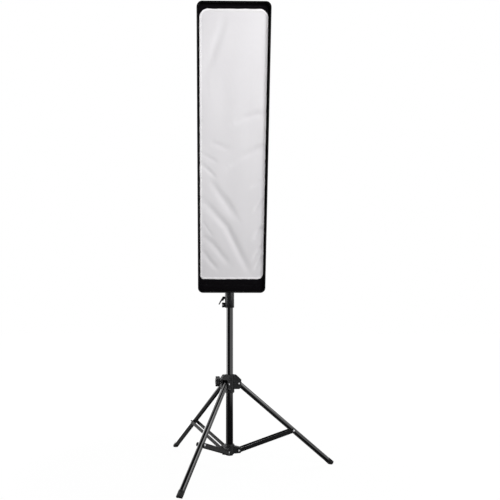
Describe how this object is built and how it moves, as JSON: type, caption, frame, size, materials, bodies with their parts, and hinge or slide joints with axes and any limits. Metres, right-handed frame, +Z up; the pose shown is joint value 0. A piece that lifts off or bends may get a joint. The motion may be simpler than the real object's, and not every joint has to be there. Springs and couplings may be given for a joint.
{
  "type": "studio softbox",
  "caption": "Tall narrow studio softbox with a white fabric front on a tilting lamp head, carried by a telescopic light stand with a folding tripod base.",
  "frame": {"origin": "centre of the flat underside of the column's foot plug, on the column axis; the floor is 48 mm below it", "axes": "+Z up along the column; -Y the way the softbox faces before its small yaw to the right and forward lean; +X to the right seen from the front"},
  "size_m": [0.7277, 0.7913, 1.6756],
  "materials": {
    "black_paint": "gloss black powder coat",
    "black_plastic": "fine-textured black plastic",
    "rubber": "matt black rubber",
    "steel": "bright zinc-plated steel",
    "spring_steel": "satin spring steel",
    "casting": "bead-blasted cast aluminium",
    "ceramic": "glazed white",
    "lamp_glass": "white phosphor-coated glass",
    "black_fabric": "black woven nylon outside, silver lining inside",
    "white_fabric": "white translucent ripstop"
  },
  "bodies": {
    "column": {"column_tube": "black_paint", "foot_plug": "black_plastic", "lower_collar": "black_plastic", "lower_lock_collar": "black_plastic", "lower_lock_bolt": "steel"},
    "leg_collar": {"sliding_collar": "black_plastic", "leg_pin_right": "steel", "leg_pin_rear": "steel", "leg_pin_front": "steel"},
    "collar_knob": {"collar_knob": "black_plastic"},
    "leg_right": {"leg_right": "black_paint", "foot_right": "rubber"},
    "leg_rear": {"leg_rear": "black_paint", "foot_rear": "rubber"},
    "leg_front": {"leg_front": "black_paint", "foot_front": "rubber"},
    "strut_right": {"strut_right_left": "black_paint", "strut_right_right": "black_paint", "strut_pin_right": "steel"},
    "strut_rear": {"strut_rear_left": "black_paint", "strut_rear_right": "black_paint", "strut_pin_rear": "steel"},
    "strut_front": {"strut_front_left": "black_paint", "strut_front_right": "black_paint", "strut_pin_front": "steel"},
    "lower_lever": {"lower_lock_lever": "black_plastic"},
    "mid_section": {"mid_tube": "black_paint", "upper_lock_collar": "black_plastic", "upper_lock_bolt": "steel"},
    "upper_lever": {"upper_lock_lever": "black_plastic"},
    "top_section": {"top_tube": "black_paint", "spigot": "steel"},
    "head_swivel": {"spigot_receiver": "casting"},
    "receiver_knob": {"receiver_knob": "black_plastic"},
    "tilt_handle": {"tilt_handle": "black_plastic"},
    "lamp_head": {"tilt_bracket": "casting", "bracket_screw_front": "steel", "bracket_screw_rear": "steel", "head_housing": "black_plastic", "rear_cover": "black_plastic", "power_inlet": "black_plastic", "lamp_socket": "ceramic", "lamp_base": "ceramic", "lamp_tube": "lamp_glass", "ring_hub": "casting"},
    "power_switch": {"power_switch": "black_plastic"},
    "softbox": {"speed_ring": "casting", "rod_top_left": "spring_steel", "rod_top_right": "spring_steel", "rod_bottom_left": "spring_steel", "rod_bottom_right": "spring_steel", "softbox_shell": "black_fabric", "inner_diffuser": "white_fabric", "front_diffuser": "white_fabric"},
    "ring_lock_screw": {"ring_lock_screw": "black_plastic"}
  },
  "joints": [
    {"name": "stand_fold", "type": "slide", "parent": "column", "child": "leg_collar", "axis": [0, 0, 1], "range_m": [0, 0.2715]},
    {"name": "collar_knob_turn", "type": "hinge", "parent": "leg_collar", "child": "collar_knob", "pos_m": [-0.03949, -0.00636, 0.3075], "axis": [-0.9873, -0.159, 0], "continuous": true},
    {"name": "leg_right_fold", "type": "hinge", "parent": "leg_collar", "child": "leg_right", "pos_m": [0.03752, 0.00604, 0.299], "axis": [-0.159, 0.9873, 0], "range_deg": [0, 49.2]},
    {"name": "leg_rear_fold", "type": "hinge", "parent": "leg_collar", "child": "leg_rear", "pos_m": [-0.02399, 0.02947, 0.299], "axis": [-0.7755, -0.6314, 0], "range_deg": [0, 49.2]},
    {"name": "leg_front_fold", "type": "hinge", "parent": "leg_collar", "child": "leg_front", "pos_m": [-0.01353, -0.03551, 0.299], "axis": [0.9345, -0.3559, 0], "range_deg": [0, 49.2]},
    {"name": "strut_right_fold", "type": "hinge", "parent": "column", "child": "strut_right", "pos_m": [0.03752, 0.00604, 0.021], "axis": [0.159, -0.9873, 0], "range_deg": [0, 71.4]},
    {"name": "strut_rear_fold", "type": "hinge", "parent": "column", "child": "strut_rear", "pos_m": [-0.02399, 0.02947, 0.021], "axis": [0.7755, 0.6314, 0], "range_deg": [0, 71.4]},
    {"name": "strut_front_fold", "type": "hinge", "parent": "column", "child": "strut_front", "pos_m": [-0.01353, -0.03551, 0.021], "axis": [-0.9345, 0.3559, 0], "range_deg": [0, 71.4]},
    {"name": "lower_lever_flip", "type": "hinge", "parent": "column", "child": "lower_lever", "pos_m": [-0.025, 0, 0.6552], "axis": [0, 1, 0], "range_deg": [0, 95]},
    {"name": "mid_slide", "type": "slide", "parent": "column", "child": "mid_section", "axis": [0, 0, 1], "range_m": [-0.305, 0.11]},
    {"name": "upper_lever_flip", "type": "hinge", "parent": "mid_section", "child": "upper_lever", "pos_m": [-0.025, 0, 1.0285], "axis": [0, 1, 0], "range_deg": [0, 95]},
    {"name": "top_slide", "type": "slide", "parent": "mid_section", "child": "top_section", "axis": [0, 0, 1], "range_m": [-0.01, 0.42]},
    {"name": "head_pan", "type": "hinge", "parent": "top_section", "child": "head_swivel", "pos_m": [0, 0, 1.144], "axis": [0, 0, 1], "continuous": true},
    {"name": "receiver_knob_turn", "type": "hinge", "parent": "head_swivel", "child": "receiver_knob", "pos_m": [-0.02493, -0.00187, 1.0825], "axis": [-0.9972, -0.075, 0], "continuous": true},
    {"name": "head_tilt", "type": "hinge", "parent": "head_swivel", "child": "lamp_head", "pos_m": [0, 0, 1.144], "axis": [0.9972, 0.075, 0], "range_deg": [-75, 18]},
    {"name": "tilt_handle_turn", "type": "hinge", "parent": "head_swivel", "child": "tilt_handle", "pos_m": [0, 0, 1.144], "axis": [0.9972, 0.075, 0], "range_deg": [-60, 60]},
    {"name": "switch_rock", "type": "hinge", "parent": "lamp_head", "child": "power_switch", "pos_m": [-0.00404, 0.05374, 1.24159], "axis": [0.9972, 0.075, 0], "range_deg": [-8, 8]},
    {"name": "softbox_turn", "type": "hinge", "parent": "lamp_head", "child": "softbox", "pos_m": [0.00108, -0.01433, 1.21046], "axis": [0.0733, -0.9747, -0.2113], "continuous": true},
    {"name": "ring_screw_turn", "type": "hinge", "parent": "softbox", "child": "ring_lock_screw", "pos_m": [0.06205, -0.07836, 1.19567], "axis": [0.9972, 0.075, 0], "continuous": true}
  ],
  "couplings": [
    {"joint": "leg_right_fold", "follows": "stand_fold", "rad_per_m": 3.1572},
    {"joint": "leg_rear_fold", "follows": "stand_fold", "rad_per_m": 3.1572},
    {"joint": "leg_front_fold", "follows": "stand_fold", "rad_per_m": 3.1572},
    {"joint": "strut_right_fold", "follows": "stand_fold", "rad_per_m": 4.5765},
    {"joint": "strut_rear_fold", "follows": "stand_fold", "rad_per_m": 4.5765},
    {"joint": "strut_front_fold", "follows": "stand_fold", "rad_per_m": 4.5765}
  ]
}
